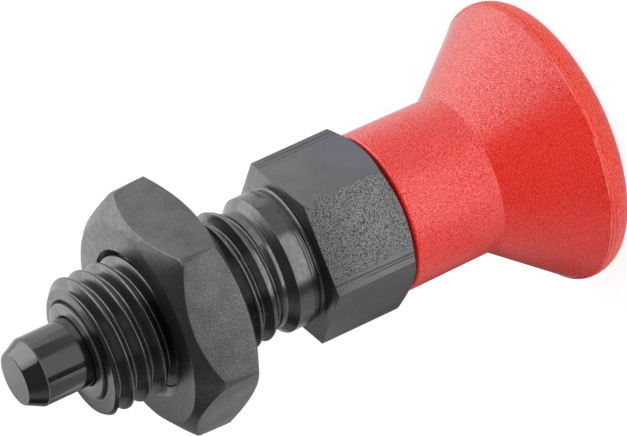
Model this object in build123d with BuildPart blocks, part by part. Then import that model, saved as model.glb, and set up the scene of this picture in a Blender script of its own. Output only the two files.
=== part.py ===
from build123d import *
import os
from math import asin, atan2, cos, hypot, pi, radians, sin, tan

# Indexing plunger with a mushroom grip and a lock nut, at rest: the spring holds the pin out of
# the nose. Millimetres. +Z runs along the axis towards the pin's nose, and the origin is on the
# axis in the collar's seating face. Two of the collar's flats face +Y and -Y. The plunger stands
# on the flat end of its grip.

# ---- Driving dimensions ----

# Threaded shank, ahead of the collar
thread_diameter = 12.0  # metric fine thread, right-handed, 1.5 pitch
thread_allowance = 0.03  # radial, crest below the nominal size
shank_length = 20.0
rim_diameter = 11.2  # outside of the front face
rim_chamfer_length = 0.7
band_length = 2.45  # plain centring band behind the thread
relief_cone_length = 1.15  # from the band down to the groove
relief_diameter = 10.3  # groove where the thread runs out
relief_width = 0.6
run_out_length = 0.5  # from the groove up to the thread's crests

# Hexagon collar
collar_across_flats = 14.0
collar_length = 8.2
collar_end_diameter = 13.6  # where the rear chamfer meets the end face
hexagon_chamfer = 30.0  # degrees from the end face

# Inside of the housing
chamber_diameter = 8.0  # holds the spring and guides the pin's shoulder
rear_wall = 3.8  # what the spring pushes against
mouth_chamfer = 0.25

# Guide bush, pressed into the mouth of the housing
bush_diameter = 8.4
bush_length = 4.0
bush_stand_out = 0.3
bush_edge = 0.08
bush_mouth_chamfer = 0.25

# Locking pin
pin_diameter = 6.0
pin_projection = 6.0  # beyond the shank's front face, and also the stroke
pin_tip_diameter = 4.5
pin_taper_length = 1.45
shoulder_length = 2.4
stem_diameter = 4.0
stem_hold = 11.0  # how far the stem reaches into the grip
groove_depth = 0.35
groove_width = 1.6
groove_inset = 3.0  # from the stem's end to the groove

# Compression spring
wire_diameter = 0.8
spring_mean_diameter = 6.6
spring_coils = 8.5
closed_coils = 1.0  # at each end, ground flat
closed_coil_gap = 0.06
steps_per_coil = 18

# Mushroom grip
neck_diameter = 14.0
neck_length = 8.6
neck_edge = 0.3
head_diameter = 25.0
head_depth = 7.45  # from the throat to the widest circle
shoulder_radius = 1.0  # between the cone and the widest circle
crown_radius = 2.05  # between the widest circle and the flat end

# Lock nut
nut_across_flats = 19.0
nut_thickness = 6.0
nut_seat_height = 8.45  # its rear face, ahead of the collar's seat
nut_turn = -6.0  # degrees, against the collar's flats
nut_rear_face_diameter = 17.9
nut_front_face_diameter = 17.7
nut_front_chamfer = 41.0  # degrees from the face
nut_corner_diameter = 21.56  # its corners are pressed in a little towards the front
nut_countersink_diameter = 12.9

# Clearances
guide_clearance = 0.04  # radial, pin in bush
shoulder_clearance = 0.08  # radial, shoulder in chamber
stem_clearance = 0.08  # radial, stem in rear wall
thread_clearance = 0.08  # radial, nut on shank
stop_gap = 0.05  # shoulder to bush
grip_gap = 0.2  # neck to collar
spring_gap = 0.02  # at each end of the spring

# ---- Heights along the axis ----

collar_end = -collar_length
bush_front = shank_length + bush_stand_out
bush_rear = bush_front - bush_length
chamber_floor = collar_end + rear_wall
pin_tip = shank_length + pin_projection
shoulder_front = bush_rear - stop_gap
shoulder_rear = shoulder_front - shoulder_length
neck_front = collar_end - grip_gap
throat = neck_front - neck_length
parting_line = throat - head_depth
crown = parting_line - crown_radius
stem_end = neck_front - stem_hold
nut_front = nut_seat_height + nut_thickness

# ---- Radii that several pieces share ----

thread_radius = thread_diameter / 2 - thread_allowance
chamber_radius = chamber_diameter / 2
bush_radius = bush_diameter / 2
pin_radius = pin_diameter / 2
stem_radius = stem_diameter / 2
chamfer_slope = tan(radians(hexagon_chamfer))


def hexagon_corner(across_flats):
    """Radius of a hexagon's corners."""
    return across_flats / 2 / cos(radians(30))


# ---- Housing: hexagon collar and shank, turned from one bar ----

with BuildPart() as housing:
    with BuildSketch(Plane.XY.offset(collar_end)):
        RegularPolygon(collar_across_flats / 2, 6, major_radius=False)
    extrude(amount=collar_length)
    # the rear corners are turned off
    collar_corner = hexagon_corner(collar_across_flats)
    collar_rise = (collar_corner - collar_end_diameter / 2) * chamfer_slope
    with BuildSketch(Plane.XZ):
        with BuildLine():
            Polyline(
                (0, collar_end),
                (collar_end_diameter / 2, collar_end),
                (collar_corner, collar_end + collar_rise),
                (collar_corner, 0),
                (0, 0),
                close=True,
            )
        make_face()
    revolve(axis=Axis.Z, mode=Mode.INTERSECT)
    # shank, with its centring band, run-out groove and front chamfer
    relief_radius = relief_diameter / 2
    relief_rear = band_length + relief_cone_length
    relief_front = relief_rear + relief_width
    with BuildSketch(Plane.XZ):
        with BuildLine():
            Polyline(
                (0, 0),
                (thread_radius, 0),
                (thread_radius, band_length),
                (relief_radius, relief_rear),
                (relief_radius, relief_front),
                (thread_radius, relief_front + run_out_length),
                (thread_radius, shank_length - rim_chamfer_length),
                (rim_diameter / 2, shank_length),
                (0, shank_length),
                close=True,
            )
        make_face()
    revolve(axis=Axis.Z)
    # stepped bore: mouth for the bush, chamber for the spring, hole for the stem
    with BuildSketch(Plane.XZ):
        with BuildLine():
            Polyline(
                (0, collar_end),
                (stem_radius + stem_clearance, collar_end),
                (stem_radius + stem_clearance, chamber_floor),
                (chamber_radius, chamber_floor),
                (chamber_radius, bush_rear),
                (bush_radius, bush_rear),
                (bush_radius, shank_length - mouth_chamfer),
                (bush_radius + mouth_chamfer, shank_length),
                (0, shank_length),
                close=True,
            )
        make_face()
    revolve(axis=Axis.Z, mode=Mode.SUBTRACT)
housing.part.label = "housing"

# ---- Guide bush ----

with BuildPart() as guide_bush:
    with BuildSketch(Plane.XY.offset(bush_rear)):
        Circle(bush_radius)
        Circle(pin_radius + guide_clearance, mode=Mode.SUBTRACT)
    extrude(amount=bush_length)
    front_circles = guide_bush.edges().group_by(Axis.Z)[-1].sort_by(SortBy.RADIUS)
    chamfer(front_circles[0], length=bush_mouth_chamfer)
    chamfer(front_circles[-1], length=bush_edge)
guide_bush.part.label = "guide_bush"

# ---- Locking pin: nose, shoulder and stem in one piece, grooved where the grip holds it ----

with BuildPart() as locking_pin:
    groove_rear = stem_end + groove_inset
    groove_front = groove_rear + groove_width
    groove_radius = stem_radius - groove_depth
    pin_shoulder_radius = chamber_radius - shoulder_clearance
    with BuildSketch(Plane.XZ):
        with BuildLine():
            Polyline(
                (0, stem_end),
                (stem_radius, stem_end),
                (stem_radius, groove_rear),
                (groove_radius, groove_rear),
                (groove_radius, groove_front),
                (stem_radius, groove_front),
                (stem_radius, shoulder_rear),
                (pin_shoulder_radius, shoulder_rear),
                (pin_shoulder_radius, shoulder_front),
                (pin_radius, shoulder_front),
                (pin_radius, pin_tip - pin_taper_length),
                (pin_tip_diameter / 2, pin_tip),
                (0, pin_tip),
                close=True,
            )
        make_face()
    revolve(axis=Axis.Z)
locking_pin.part.label = "locking_pin"

# ---- Compression spring: a helix of short straights, closed and ground flat at both ends ----

spring_base = chamber_floor + spring_gap
spring_length = shoulder_rear - spring_gap - spring_base
wire_start = -wire_diameter / 4  # the wire's centre at its ground tip, against the end plane
closed_pitch = wire_diameter + closed_coil_gap
active_rise = spring_length - 2 * wire_start - 2 * closed_coils * closed_pitch
active_pitch = active_rise / (spring_coils - 2 * closed_coils)


def wire_point(turn):
    """Where the wire's centre is after a number of turns from the rear tip."""
    closed = min(turn, closed_coils) + max(turn - spring_coils + closed_coils, 0)
    height = closed * closed_pitch + (turn - closed) * active_pitch
    angle = 2 * pi * turn
    return (
        spring_mean_diameter / 2 * cos(angle),
        spring_mean_diameter / 2 * sin(angle),
        spring_base + wire_start + height,
    )


with BuildPart() as compression_spring:
    with BuildLine():
        step_count = round(spring_coils * steps_per_coil)
        coil = Polyline([wire_point(step / steps_per_coil) for step in range(step_count + 1)])
    with BuildSketch(Plane(origin=coil @ 0, x_dir=(1, 0, 0), z_dir=coil % 0)):
        RegularPolygon(wire_diameter / 2, 6, major_radius=False)
    sweep(path=coil, transition=Transition.RIGHT)
    with BuildSketch(Plane.XY.offset(spring_base)):
        Circle(chamber_radius)
    extrude(amount=spring_length, mode=Mode.INTERSECT)
compression_spring.part.label = "compression_spring"

# ---- Mushroom grip, moulded on the grooved end of the stem ----

neck_radius = neck_diameter / 2
head_radius = head_diameter / 2
# the cone is a tangent of the shoulder's arc, which is drawn as its chord
climb = head_radius - shoulder_radius - neck_radius
cone_angle = atan2(climb, head_depth) + asin(shoulder_radius / hypot(head_depth, climb))
touch_radius = head_radius - shoulder_radius * (1 - cos(cone_angle))
touch_height = parting_line + shoulder_radius * sin(cone_angle)

with BuildPart() as pull_knob:
    with BuildSketch(Plane.XZ):
        with BuildLine():
            Polyline(
                (0, crown),
                (0, neck_front),
                (neck_radius - neck_edge, neck_front),
                (neck_radius, neck_front - neck_edge),
                (neck_radius, throat),
                (touch_radius, touch_height),
                (head_radius, parting_line),
            )
            RadiusArc(
                (head_radius, parting_line),
                (head_radius - crown_radius, crown),
                crown_radius,
            )
            Line((head_radius - crown_radius, crown), (0, crown))
        make_face()
    revolve(axis=Axis.Z)
    add(locking_pin.part, mode=Mode.SUBTRACT)
pull_knob.part.label = "pull_knob"

# ---- Lock nut, chamfered on both faces ----

with BuildPart() as lock_nut:
    with BuildSketch(Plane.XY.offset(nut_seat_height)):
        RegularPolygon(nut_across_flats / 2, 6, major_radius=False, rotation=nut_turn)
    extrude(amount=nut_thickness)
    nut_corner = hexagon_corner(nut_across_flats)
    pressed_corner = nut_corner_diameter / 2
    rear_face = nut_rear_face_diameter / 2
    front_face = nut_front_face_diameter / 2
    rear_rise = (nut_corner - rear_face) * chamfer_slope
    front_rise = (pressed_corner - front_face) * tan(radians(nut_front_chamfer))
    with BuildSketch(Plane.XZ):
        with BuildLine():
            Polyline(
                (0, nut_seat_height),
                (rear_face, nut_seat_height),
                (nut_corner, nut_seat_height + rear_rise),
                (pressed_corner, nut_front - front_rise),
                (front_face, nut_front),
                (0, nut_front),
                close=True,
            )
        make_face()
    revolve(axis=Axis.Z, mode=Mode.INTERSECT)
    bore_radius = thread_radius + thread_clearance
    sink_depth = nut_countersink_diameter / 2 - bore_radius
    with BuildSketch(Plane.XZ):
        with BuildLine():
            Polyline(
                (0, nut_seat_height),
                (nut_countersink_diameter / 2, nut_seat_height),
                (bore_radius, nut_seat_height + sink_depth),
                (bore_radius, nut_front - sink_depth),
                (nut_countersink_diameter / 2, nut_front),
                (0, nut_front),
                close=True,
            )
        make_face()
    revolve(axis=Axis.Z, mode=Mode.SUBTRACT)
lock_nut.part.label = "lock_nut"

# ---- One STEP file for each piece ----

os.makedirs("parts", exist_ok=True)
for piece in (housing, guide_bush, locking_pin, compression_spring, pull_knob, lock_nut):
    export_step(piece.part, f"parts/{piece.part.label}.step")
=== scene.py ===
"""Dresses the indexing plunger: thread, finishes, floor, lamps and camera around its solids.

The pieces' sizes are millimetres along the plunger's own axis, +Z towards the pin's nose, until a
point goes into a mesh. Finishes and the studio are in metres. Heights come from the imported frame
wherever it has them.
"""

import logging
import math
from dataclasses import dataclass
from enum import Enum
from typing import Callable, Sequence

import bpy
from mathutils import Matrix, Vector


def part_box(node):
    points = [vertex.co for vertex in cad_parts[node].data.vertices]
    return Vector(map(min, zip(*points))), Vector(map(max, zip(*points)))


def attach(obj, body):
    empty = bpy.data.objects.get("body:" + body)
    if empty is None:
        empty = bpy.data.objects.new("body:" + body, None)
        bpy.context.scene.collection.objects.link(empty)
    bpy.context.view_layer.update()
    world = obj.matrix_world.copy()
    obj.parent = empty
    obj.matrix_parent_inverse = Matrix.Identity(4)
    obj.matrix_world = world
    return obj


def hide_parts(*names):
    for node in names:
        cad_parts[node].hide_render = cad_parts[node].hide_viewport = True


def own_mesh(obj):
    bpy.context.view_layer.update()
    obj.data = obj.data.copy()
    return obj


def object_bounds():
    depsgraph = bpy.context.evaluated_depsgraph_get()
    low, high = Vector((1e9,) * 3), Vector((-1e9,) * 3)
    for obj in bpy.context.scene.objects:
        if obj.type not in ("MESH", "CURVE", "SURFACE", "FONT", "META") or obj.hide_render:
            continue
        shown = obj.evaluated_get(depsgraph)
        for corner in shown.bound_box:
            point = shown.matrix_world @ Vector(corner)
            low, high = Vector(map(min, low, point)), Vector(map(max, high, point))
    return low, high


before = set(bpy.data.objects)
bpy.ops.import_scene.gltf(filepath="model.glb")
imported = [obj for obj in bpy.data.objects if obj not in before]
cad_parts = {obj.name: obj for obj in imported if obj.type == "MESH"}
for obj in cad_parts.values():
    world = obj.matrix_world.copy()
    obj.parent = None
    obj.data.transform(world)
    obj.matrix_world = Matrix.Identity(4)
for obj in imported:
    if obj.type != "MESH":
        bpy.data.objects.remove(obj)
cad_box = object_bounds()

Point = tuple[float, float]
Colour = tuple[float, float, float]
Opaque = tuple[float, float, float, float]
Piece = bpy.types.Object
Material = bpy.types.Material
Node = bpy.types.Node
Socket = bpy.types.NodeSocket
Face = bpy.types.MeshPolygon

log = logging.getLogger("plunger")
MM = 0.001
WELD = 1e-6  # metres: points nearer than this are one
OVER = 1.0  # how far a cutting tool or a core reaches past the cut
THIRTY = math.radians(30)  # half a hexagon's sixth, a chamfer's cone and a thread's flank


# ---- Drawing and turning ----


@dataclass(frozen=True)
class Corner:
    """One corner of a turned outline.

    Args:
        radius: distance from the axis.
        height: place along the axis.
        round: radius that the corner is rounded to, 0 for a sharp one.
    """

    radius: float
    height: float
    round: float = 0.0


def rounded_outline(corners: Sequence[Corner], closed: bool, step_angle: float = 15.0) -> list[Point]:
    """Puts arcs in place of the corners that have a round.

    Args:
        corners: the outline, in order.
        closed: whether the last corner joins the first.
        step_angle: largest turn between two points of an arc, in degrees.

    Returns:
        The points of the outline.
    """
    points: list[Point] = []
    count = len(corners)
    for index, corner in enumerate(corners):
        here = Vector((corner.radius, corner.height))
        inner = closed or 0 < index < count - 1
        if corner.round == 0 or not inner:
            points.append((here.x, here.y))
            continue
        before = corners[index - 1]
        after = corners[(index + 1) % count]
        arriving = (here - Vector((before.radius, before.height))).normalized()
        leaving = (Vector((after.radius, after.height)) - here).normalized()
        turn = arriving.angle_signed(leaving)
        reach = corner.round * math.tan(abs(turn) / 2)
        start = here - arriving * reach
        side = Vector((arriving.y, -arriving.x)) if turn > 0 else Vector((-arriving.y, arriving.x))
        centre = start + side * corner.round
        steps = max(2, math.ceil(math.degrees(abs(turn)) / step_angle))
        for step in range(steps + 1):
            spoke = start - centre
            spoke.rotate(Matrix.Rotation(-turn * step / steps, 2))
            points.append(tuple(centre + spoke))
    return points


def deselect_all() -> None:
    """Leaves nothing selected, so that the next operator takes only the new piece."""
    bpy.ops.object.select_all(action="DESELECT")


def make_active(obj: Piece) -> None:
    """Makes one object the active one.

    Args:
        obj: the object, which is then the only one selected.
    """
    deselect_all()
    obj.select_set(True)
    bpy.context.view_layer.objects.active = obj


def draw_outline(name: str, points: Sequence[Point], closed: bool) -> Piece:
    """Draws an outline in the XZ plane, point by point.

    Args:
        name: the new object's name.
        points: radius and height of each point.
        closed: whether the last point joins the first.

    Returns:
        The object, holding a chain of edges.
    """
    deselect_all()
    bpy.ops.mesh.primitive_plane_add(size=MM)
    chain = bpy.context.object
    chain.name = name
    bpy.ops.object.mode_set(mode="EDIT")
    bpy.ops.mesh.merge(type="CENTER")
    bpy.ops.transform.translate(value=(points[0][0] * MM, 0, points[0][1] * MM))
    for before, after in zip(points, points[1:]):
        step = ((after[0] - before[0]) * MM, 0, (after[1] - before[1]) * MM)
        bpy.ops.mesh.extrude_vertices_move(TRANSFORM_OT_translate={"value": step})
    if closed:
        bpy.ops.object.mode_set(mode="OBJECT")
        ends = chain.data.vertices
        ends[0].select = True
        ends[len(ends) - 1].select = True
        bpy.ops.object.mode_set(mode="EDIT")
        bpy.ops.mesh.edge_face_add()
    bpy.ops.object.mode_set(mode="OBJECT")
    return chain


def apply_modifier(obj: Piece, kind: str, **settings: object) -> None:
    """Adds a modifier and applies it.

    Args:
        obj: the piece.
        kind: Blender's name for the modifier.
        settings: its settings.
    """
    make_active(obj)
    modifier = obj.modifiers.new(kind.lower(), kind)
    for key, value in settings.items():
        setattr(modifier, key, value)
    bpy.ops.object.modifier_apply(modifier=modifier.name)


def close_skin(obj: Piece) -> None:
    """Welds the points that meet and turns the faces outwards.

    Args:
        obj: the piece.
    """
    make_active(obj)
    bpy.ops.object.mode_set(mode="EDIT")
    bpy.ops.mesh.select_all(action="SELECT")
    bpy.ops.mesh.remove_doubles(threshold=WELD)
    bpy.ops.mesh.dissolve_degenerate(threshold=WELD)
    bpy.ops.mesh.normals_make_consistent(inside=False)
    bpy.ops.object.mode_set(mode="OBJECT")


def turned(name: str, *places: tuple[float, ...], closed: bool = False, steps: int = 144) -> Piece:
    """Turns an outline round the axis, as on a lathe.

    Args:
        name: the new piece's name.
        places: radius, height and any round of each corner; an open outline starts and ends on
            the axis.
        closed: whether the outline is a ring's section, clear of the axis.
        steps: flats round the full turn.

    Returns:
        The closed piece.
    """
    corners = [Corner(*place) for place in places]
    piece = draw_outline(name, rounded_outline(corners, closed), closed)
    rounds = {"angle": math.tau, "steps": steps, "render_steps": steps}
    apply_modifier(piece, "SCREW", **rounds, use_merge_vertices=False)
    close_skin(piece)
    return piece


def hexagon_corner(across_flats: float) -> float:
    """Gives the distance from a hexagon's middle to its corners."""
    return across_flats / 2 / math.cos(THIRTY)


def hexagon_bar(name: str, across_flats: float, low: float, high: float, turn: float,
                edge: float) -> Piece:
    """Makes a length of hexagon bar, its long edges broken a little.

    Args:
        name: the new piece's name.
        across_flats: width between opposite flats.
        low: height of the lower end.
        high: height of the upper end.
        turn: degrees from having two flats square to Y.
        edge: width of the break on its edges.

    Returns:
        The bar.
    """
    deselect_all()
    bpy.ops.mesh.primitive_cylinder_add(
        vertices=6,
        radius=hexagon_corner(across_flats) * MM,
        depth=(high - low) * MM,
        location=(0, 0, (high + low) / 2 * MM),
        rotation=(0, 0, math.radians(30 + turn)),
    )
    bar = bpy.context.object
    bar.name = name
    bpy.ops.object.transform_apply(location=True, rotation=True, scale=True)
    bpy.ops.object.mode_set(mode="EDIT")
    bpy.ops.mesh.select_all(action="SELECT")
    bpy.ops.mesh.bevel(offset=edge * MM, segments=2, affect="EDGES")
    bpy.ops.object.mode_set(mode="OBJECT")
    return bar


def combine(piece: Piece, tool: Piece, operation: str) -> None:
    """Adds, cuts or keeps what a tool covers, then puts the tool away."""
    apply_modifier(piece, "BOOLEAN", object=tool, operation=operation, solver="EXACT")
    bpy.data.objects.remove(tool)


def cut_to_length(piece: Piece, low: float, high: float) -> None:
    """Saws a piece off square at both ends and closes the cuts.

    Args:
        piece: the piece, a closed skin at both heights.
        low: height of the lower cut.
        high: height of the upper cut.
    """
    for height, upper in ((high, True), (low, False)):
        make_active(piece)
        bpy.ops.object.mode_set(mode="EDIT")
        bpy.ops.mesh.select_all(action="SELECT")
        bpy.ops.mesh.bisect(
            plane_co=(0, 0, height * MM),
            plane_no=(0, 0, 1),
            use_fill=True,
            clear_outer=upper,
            clear_inner=not upper,
            threshold=WELD / 10,
        )
        bpy.ops.object.mode_set(mode="OBJECT")
    close_skin(piece)


@dataclass(frozen=True)
class MetricThread:
    """A right-handed sixty-degree thread with rounded crests and roots.

    Args:
        pitch: rise in one turn.
        crest_radius: outside of the thread.
        crest_round: radius of the crest in section.
        root_round: radius of the root in section.
        crest_height: height of one crest where the thread crosses +X.
        steps: flats in one turn.
    """

    pitch: float
    crest_radius: float
    crest_round: float
    root_round: float
    crest_height: float
    steps: int = 120

    def rod(self, name: str, low: float, high: float) -> Piece:
        """Winds a threaded rod, sawn off square at both ends.

        Args:
            name: the rod's name.
            low: height of its lower end.
            high: height of its upper end.

        Returns:
            The rod.
        """
        apex = self.crest_radius + self.crest_round
        base = apex - self.pitch / 2 / math.tan(THIRTY)
        middle = (apex + base) / 2
        turns = math.ceil((high - low) / self.pitch) + 3  # some to spare past both ends
        start = self.crest_height - 0.75 * self.pitch
        start -= math.ceil((start - low) / self.pitch + 1) * self.pitch
        one_turn = [
            Corner(middle, start),
            Corner(base, start + self.pitch / 4, self.root_round),
            Corner(apex, start + self.pitch * 0.75, self.crest_round),
            Corner(middle, start + self.pitch),
        ]
        rod = draw_outline(name, rounded_outline(one_turn, closed=False), closed=False)
        apply_modifier(
            rod,
            "SCREW",
            angle=math.tau,
            screw_offset=self.pitch * MM,
            iterations=turns,
            steps=self.steps,
            render_steps=self.steps,
            use_merge_vertices=False,
        )
        close_skin(rod)
        cut_to_length(rod, low, high)
        return rod


# ---- Shader parts ----


class Shader:
    """A material or node group under construction."""

    def __init__(self, tree: bpy.types.NodeTree) -> None:
        """Starts from a node tree."""
        self.tree = tree

    def link(self, source: Socket, target: Socket) -> None:
        """Joins two sockets."""
        self.tree.links.new(source, target)

    def feed(self, node: Node, inputs: dict[str | int, object]) -> None:
        """Feeds a node.

        Args:
            node: the node.
            inputs: a socket or a plain value for each input, by its name or place.
        """
        for key, source in inputs.items():
            if isinstance(source, bpy.types.NodeSocket):
                self.link(source, node.inputs[key])
            else:
                node.inputs[key].default_value = source

    def node(self, kind: str, inputs: dict[str | int, object] | None = None, **settings: object) -> Node:
        """Adds a node.

        Args:
            kind: Blender's name for the node.
            inputs: what feeds its inputs, by name or place.
            settings: its settings.

        Returns:
            The node.
        """
        made = self.tree.nodes.new(kind)
        for key, value in settings.items():
            setattr(made, key, value)
        self.feed(made, inputs or {})
        return made

    def math(self, operation: str, *numbers: object) -> Socket:
        """Calculates with up to three numbers or sockets."""
        return self.node("ShaderNodeMath", dict(enumerate(numbers)), operation=operation).outputs[0]

    def noise(self, vector: Socket, scale: object, detail: float, roughness: float = 0.5,
              dimensions: str = "3D") -> Socket:
        """Gives a noise pattern, from 0 to 1, with so many features in a metre."""
        inputs = {"Vector": vector, "Scale": scale, "Detail": detail, "Roughness": roughness}
        return self.node("ShaderNodeTexNoise", inputs, noise_dimensions=dimensions).outputs["Fac"]

    def remap(self, source: Socket, low: float, high: float, to_low: float = 0.0,
              to_high: float = 1.0) -> Socket:
        """Maps one range of numbers smoothly to another."""
        inputs = {"Value": source, "From Min": low, "From Max": high, "To Min": to_low, "To Max": to_high}
        return self.node("ShaderNodeMapRange", inputs, interpolation_type="SMOOTHSTEP").outputs["Result"]

    def blend(self, factor: Socket, first: object, second: object) -> Socket:
        """Blends two colours, by the share of the second one."""
        inputs = {"Factor": factor, 6: first, 7: second}  # 6 and 7 are A and B of a colour mix
        return self.node("ShaderNodeMix", inputs, data_type="RGBA").outputs[2]

    def place(self) -> Socket:
        """Gives the piece's own coordinates, in metres."""
        return self.node("ShaderNodeTexCoord").outputs["Object"]

    def split(self, vector: Socket) -> tuple[Socket, ...]:
        """Takes a vector apart into X, Y and Z."""
        return tuple(self.node("ShaderNodeSeparateXYZ", {0: vector}).outputs)

    def joined(self, x: Socket, y: Socket) -> Socket:
        """Makes a flat vector of X and Y."""
        return self.node("ShaderNodeCombineXYZ", {0: x, 1: y}).outputs[0]

    def radius(self, x: Socket, y: Socket) -> Socket:
        """Gives the distance from the axis."""
        return self.math("SQRT", self.math("MULTIPLY_ADD", x, x, self.math("MULTIPLY", y, y)))

    def bump(self, height: Socket, distance: float) -> Socket:
        """Turns a height into a shading normal, where 1 stands for the distance, in metres."""
        return self.node("ShaderNodeBump", {"Height": height, "Distance": distance}).outputs["Normal"]


def new_material(name: str) -> tuple[Material, Shader, Node]:
    """Starts a material.

    Args:
        name: its name.

    Returns:
        The material, its shader builder and its Principled BSDF.
    """
    material = bpy.data.materials.new(name)
    material.use_nodes = True
    return material, Shader(material.node_tree), material.node_tree.nodes["Principled BSDF"]


def new_group(name: str, inputs: dict[str, float], outputs: Sequence[str]) -> tuple[Shader, dict, dict]:
    """Starts a node group that puts out numbers.

    Args:
        name: the group's name.
        inputs: number inputs with their defaults, beside the coordinates.
        outputs: its outputs' names.

    Returns:
        The shader builder, the group's input sockets and its output sockets, by name.
    """
    tree = bpy.data.node_groups.new(name, "ShaderNodeTree")
    tree.interface.new_socket(name="Vector", in_out="INPUT", socket_type="NodeSocketVector")
    for key, number in inputs.items():
        socket = tree.interface.new_socket(name=key, in_out="INPUT", socket_type="NodeSocketFloat")
        socket.default_value = number
    for key in outputs:
        tree.interface.new_socket(name=key, in_out="OUTPUT", socket_type="NodeSocketFloat")
    shader = Shader(tree)
    entry = shader.node("NodeGroupInput").outputs
    leaving = shader.node("NodeGroupOutput").inputs
    return shader, {key: entry[key] for key in ("Vector", *inputs)}, {key: leaving[key] for key in outputs}


class Effects:
    """The shader groups that several finishes share."""

    def __init__(self) -> None:
        """Builds each group once."""
        self.mottle = self.build_mottle()
        self.rings = self.build_rings()

    def build_mottle(self) -> bpy.types.NodeTree:
        """Makes the blotches and fine grain of an oxide skin.

        Returns:
            The group, which puts out a mask and a height.
        """
        scales = {"Blotch Scale": 400.0, "Grain Scale": 6000.0, "Grain Share": 0.5}
        shader, inside, out = new_group("oxide_mottle", scales, ("Mask", "Height"))
        blotch = shader.noise(inside["Vector"], inside["Blotch Scale"], detail=5.0, roughness=0.6)
        grain = shader.noise(inside["Vector"], inside["Grain Scale"], detail=2.0, roughness=0.7)
        usual = (0.3, 0.7)  # where nearly all of a noise lies
        wide, fine = shader.remap(blotch, *usual), shader.remap(grain, *usual)
        share = inside["Grain Share"]
        plain = shader.math("SUBTRACT", 1.0, share)
        mask = shader.math("MULTIPLY_ADD", wide, plain, shader.math("MULTIPLY", fine, share))
        shader.link(mask, out["Mask"])
        shader.link(fine, out["Height"])
        return shader.tree

    def build_rings(self) -> bpy.types.NodeTree:
        """Makes the fine rings that a turning tool leaves, along the axis and across end faces.

        Returns:
            The group, which puts out a height.
        """
        shader, inside, out = new_group("turning_rings", {"Ring Scale": 9000.0}, ("Height",))
        x, y, z = shader.split(inside["Vector"])
        section = shader.joined(shader.radius(x, y), z)
        rings = shader.noise(section, inside["Ring Scale"], detail=2.0, dimensions="2D")
        shader.link(rings, out["Height"])
        return shader.tree

    def mottled(self, shader: Shader, place: Socket, blotches: float, grains: float, share: float) -> Node:
        """Places the mottle group, with so many blotches and grains in a metre."""
        inputs = {"Vector": place, "Blotch Scale": blotches, "Grain Scale": grains, "Grain Share": share}
        return shader.node("ShaderNodeGroup", inputs, node_tree=self.mottle)

    def ringed(self, shader: Shader, place: Socket) -> Node:
        """Places the rings group."""
        return shader.node("ShaderNodeGroup", {"Vector": place}, node_tree=self.rings)


class Surface(Enum):
    """How a steel surface was made, which sets its marks."""

    TURNED = "turned"
    DRAWN = "drawn"
    BLASTED = "blasted"
    GROUND = "ground"


GRAIN_SHARE = {Surface.TURNED: 0.2, Surface.DRAWN: 0.5, Surface.BLASTED: 0.55, Surface.GROUND: 0.2}
DRAWN_STRETCH = (1.0, 1.0, 0.08)  # draws the marks out along the axis


@dataclass(frozen=True)
class Metal:
    """What all steel finishes have.

    Args:
        name: the material's name.
        colour: grey level of the metal, as reflected.
        spread: how far the grey varies, as a share of it.
        roughness: how matt it is on average, from 0 to 1.
        relief: depth of its marks, in metres.
        blotch_scale: blotches in a metre.
        grain_scale: grains in a metre.
        metallic: share that mirrors as bare metal does; the oxide skin scatters the rest.
        gloss_spread: how far its mattness varies, as a share of it.
    """

    name: str
    colour: Colour
    spread: float
    roughness: float
    relief: float
    blotch_scale: float = 500.0
    grain_scale: float = 9000.0
    metallic: float = 1.0
    gloss_spread: float = 0.12

    def greys(self, shader: Shader, mask: Socket) -> Socket:
        """Varies the grey with the skin's mottling.

        Args:
            shader: the material's shader builder.
            mask: the mottling.

        Returns:
            The colour.
        """
        dark, light = (
            tuple(level * factor for level in self.colour) + (1.0,)
            for factor in (1 - self.spread, 1 + self.spread)
        )
        return shader.blend(mask, dark, light)

    def gloss(self, shader: Shader, mask: Socket) -> Socket:
        """Varies the roughness with the skin's mottling.

        Args:
            shader: the material's shader builder.
            mask: the mottling.

        Returns:
            The roughness.
        """
        dull = self.roughness * (1 + self.gloss_spread)
        bright = self.roughness * (1 - self.gloss_spread)
        return shader.remap(mask, 0.0, 1.0, dull, bright)


@dataclass(frozen=True)
class Steel(Metal):
    """A steel finish.

    Args:
        surface: how the surface was made.
    """

    surface: Surface = Surface.TURNED

    def build(self, effects: Effects) -> Material:
        """Makes the material.

        Args:
            effects: the shared shader groups.

        Returns:
            The material.
        """
        material, shader, bsdf = new_material(self.name)
        place = shader.place()
        vector = place
        if self.surface is Surface.DRAWN:
            stretch = shader.node("ShaderNodeMapping", {"Vector": place, "Scale": DRAWN_STRETCH})
            vector = stretch.outputs["Vector"]
        share = GRAIN_SHARE[self.surface]
        mottle = effects.mottled(shader, vector, self.blotch_scale, self.grain_scale, share)
        marks = mottle
        if self.surface in (Surface.TURNED, Surface.GROUND):
            marks = effects.ringed(shader, place)
        mask = mottle.outputs["Mask"]
        shader.feed(bsdf, {
            "Metallic": self.metallic,
            "Base Color": self.greys(shader, mask),
            "Roughness": self.gloss(shader, mask),
            "Normal": shader.bump(marks.outputs["Height"], self.relief),
        })
        return material


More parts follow.
